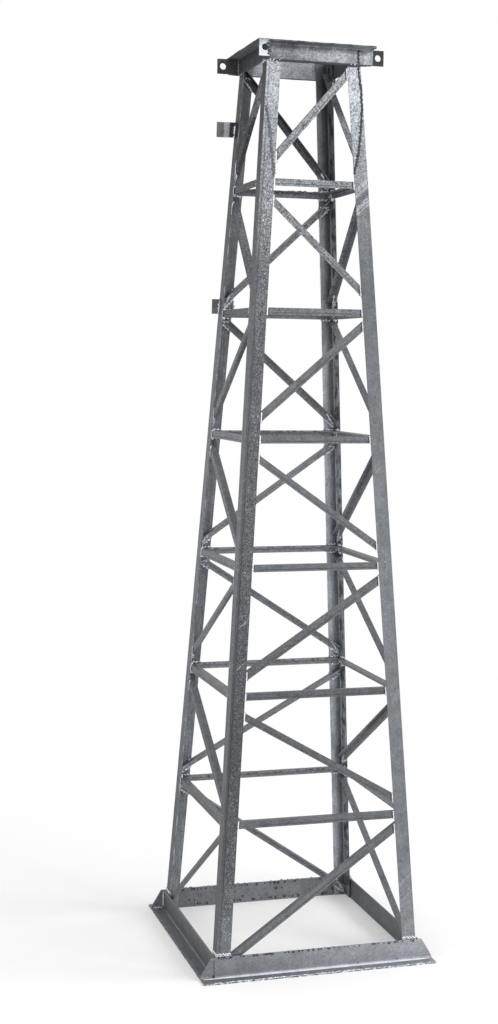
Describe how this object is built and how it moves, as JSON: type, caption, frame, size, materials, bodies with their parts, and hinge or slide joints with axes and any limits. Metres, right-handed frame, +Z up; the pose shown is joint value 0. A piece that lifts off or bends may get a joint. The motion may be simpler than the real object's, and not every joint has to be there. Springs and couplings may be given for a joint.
{
  "type": "lattice tower",
  "caption": "Open tapering tower of welded, galvanised steel angle: leaning corner legs, square base and head frames, rings of light angle and a diagonal on each face of each bay.",
  "frame": {"origin": "centre of the tower's footprint on the ground", "axes": "+Z up along the tower's axis, -Y out of the front face, +X to the right of someone who looks at the front"},
  "size_m": [0.6464, 0.6464, 2.438],
  "materials": {
    "leg_steel": "hot-dip galvanised, spangled, matt grey",
    "base_steel": "hot-dip galvanised, matt grey",
    "head_steel": "hot-dip galvanised, bright fine spangle",
    "lattice_steel": "hot-dip galvanised, matt grey",
    "strap_steel": "hot-dip galvanised, rough",
    "weld_zinc": "zinc-coated weld bead, bright"
  },
  "bodies": {
    "root": {"leg_front_left": "leg_steel", "leg_front_right": "leg_steel", "leg_back_right": "leg_steel", "leg_back_left": "leg_steel", "base_front": "base_steel", "base_back": "base_steel", "base_left": "base_steel", "base_right": "base_steel", "head_front": "head_steel", "head_right": "head_steel", "head_back": "head_steel", "head_left": "head_steel", "ring_1": "lattice_steel", "ring_2": "lattice_steel", "ring_3": "lattice_steel", "ring_4": "lattice_steel", "ring_5": "lattice_steel", "ring_6": "lattice_steel", "braces_bay_1": "lattice_steel", "braces_bay_2": "lattice_steel", "braces_bay_3": "lattice_steel", "braces_bay_4": "lattice_steel", "braces_bay_5": "lattice_steel", "braces_bay_6": "lattice_steel", "braces_bay_7": "lattice_steel", "ear_front_left": "head_steel", "ear_front_right": "head_steel", "ear_back_right": "head_steel", "ear_back_left": "head_steel", "strap_upper": "strap_steel", "strap_lower": "strap_steel"}
  },
  "joints": []
}
